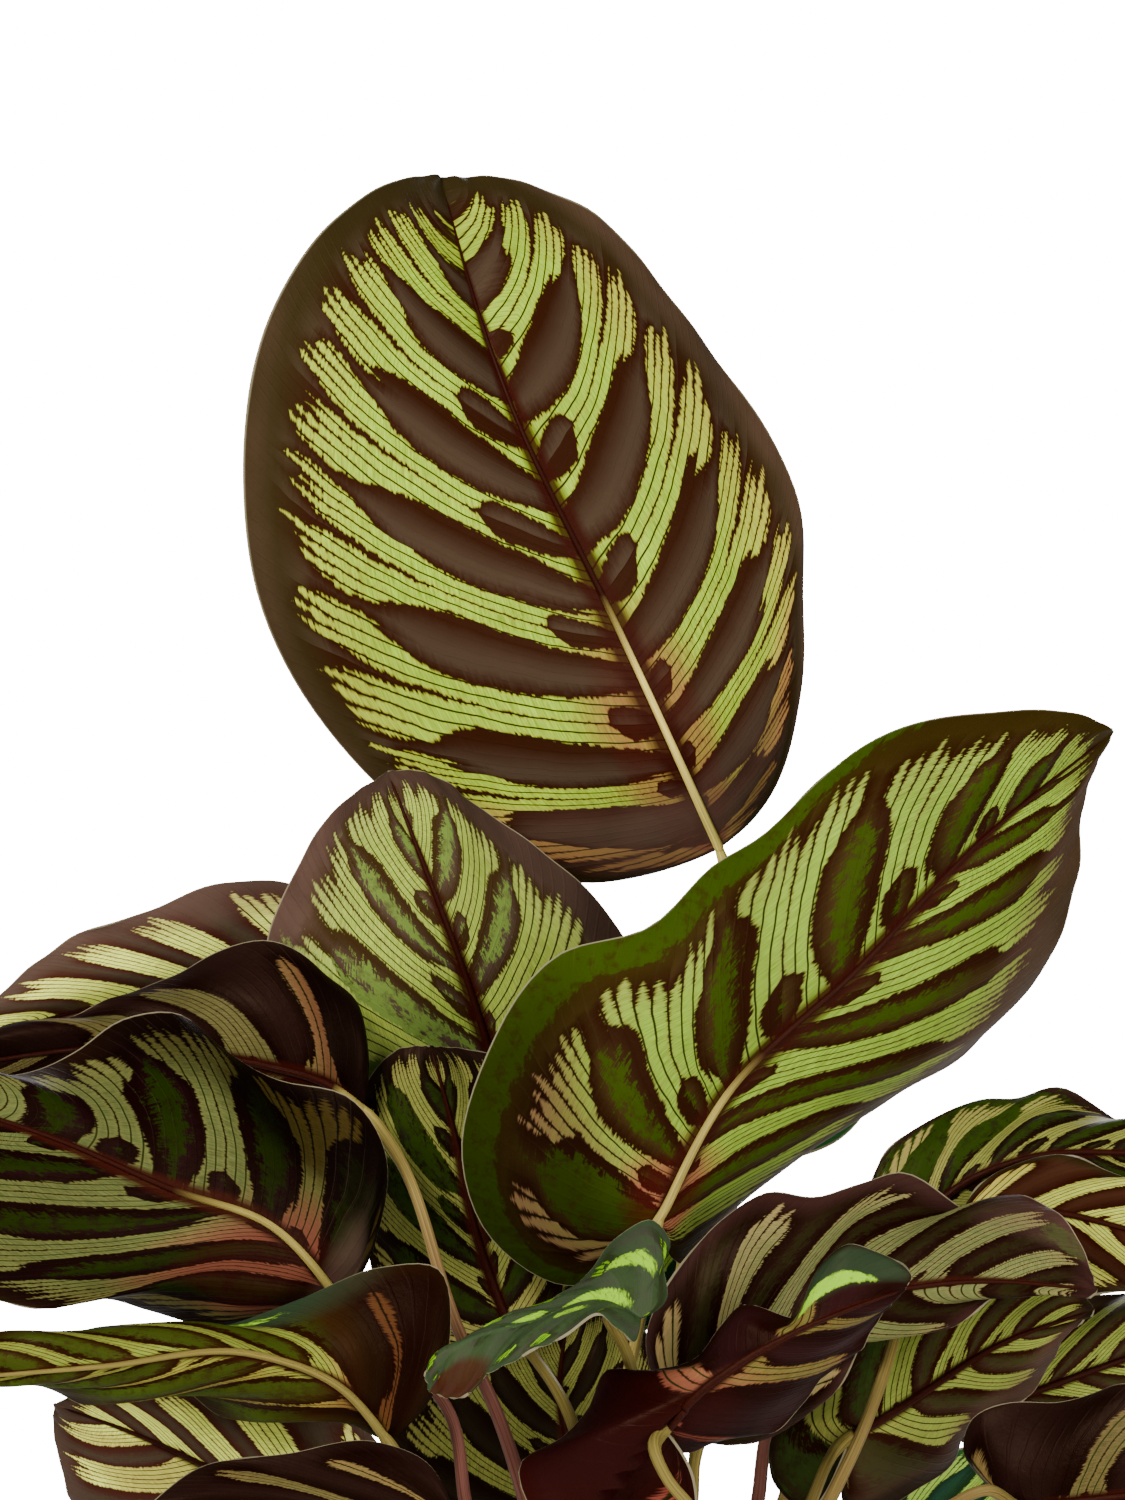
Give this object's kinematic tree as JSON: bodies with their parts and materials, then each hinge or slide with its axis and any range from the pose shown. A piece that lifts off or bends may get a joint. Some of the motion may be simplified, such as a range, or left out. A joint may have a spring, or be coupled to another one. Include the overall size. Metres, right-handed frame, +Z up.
{
  "type": "potted peacock plant",
  "caption": "Leafy house plant in a plain tapered pot: patterned leaf blades on slender stems rising from a bed of potting mix.",
  "frame": {"origin": "centre of the pot's flat bottom", "axes": "+Z up along the pot's axis, -Y towards the front of the plant, the side the picture shows, +X to the viewer's right"},
  "size_m": [0.4106, 0.2821, 0.6161],
  "materials": {
    "leaf": "satin leaf underside, green bands between dark maroon blotches",
    "young_leaf": "satin blue-green upper side of a young leaf with lime streaks",
    "stem": "smooth satin stem, yellow-green to pinkish brown",
    "pot": "plain dark grey moulded nursery pot, matte",
    "soil": "moist dark potting mix with bark and light grains"
  },
  "bodies": {
    "root": {"pot": "pot", "soil": "soil", "blade_tall": "leaf", "stem_tall": "stem", "blade_right": "leaf", "stem_right": "stem", "blade_back_left": "leaf", "stem_back_left": "stem", "blade_far_left": "leaf", "stem_far_left": "stem", "blade_left_fold": "leaf", "stem_left_fold": "stem", "blade_left_front": "leaf", "stem_left_front": "stem", "blade_low_left": "leaf", "stem_low_left": "stem", "blade_low_far": "leaf", "stem_low_far": "stem", "blade_low_dark": "leaf", "stem_low_dark": "stem", "blade_centre": "leaf", "stem_centre": "stem", "blade_shade": "leaf", "stem_shade": "stem", "blade_young": "young_leaf", "stem_young": "stem", "blade_maroon": "leaf", "stem_maroon": "stem", "blade_wavy": "leaf", "stem_wavy": "stem", "blade_high_right": "leaf", "stem_high_right": "stem", "blade_mid_right": "leaf", "stem_mid_right": "stem", "blade_low_right": "leaf", "stem_low_right": "stem", "blade_corner": "leaf", "stem_corner": "stem", "blade_far_right": "leaf", "stem_far_right": "stem", "blade_rear_top": "leaf", "stem_rear_top": "stem", "blade_rear_right": "leaf", "stem_rear_right": "stem", "blade_rear_left": "leaf", "stem_rear_left": "stem", "blade_rear_middle": "leaf", "stem_rear_middle": "stem", "blade_rear_low_right": "leaf", "stem_rear_low_right": "stem", "blade_rear_low": "leaf", "stem_rear_low": "stem", "blade_rear_low_left": "leaf", "stem_rear_low_left": "stem", "blade_rear_corner": "leaf", "stem_rear_corner": "stem"}
  },
  "joints": []
}
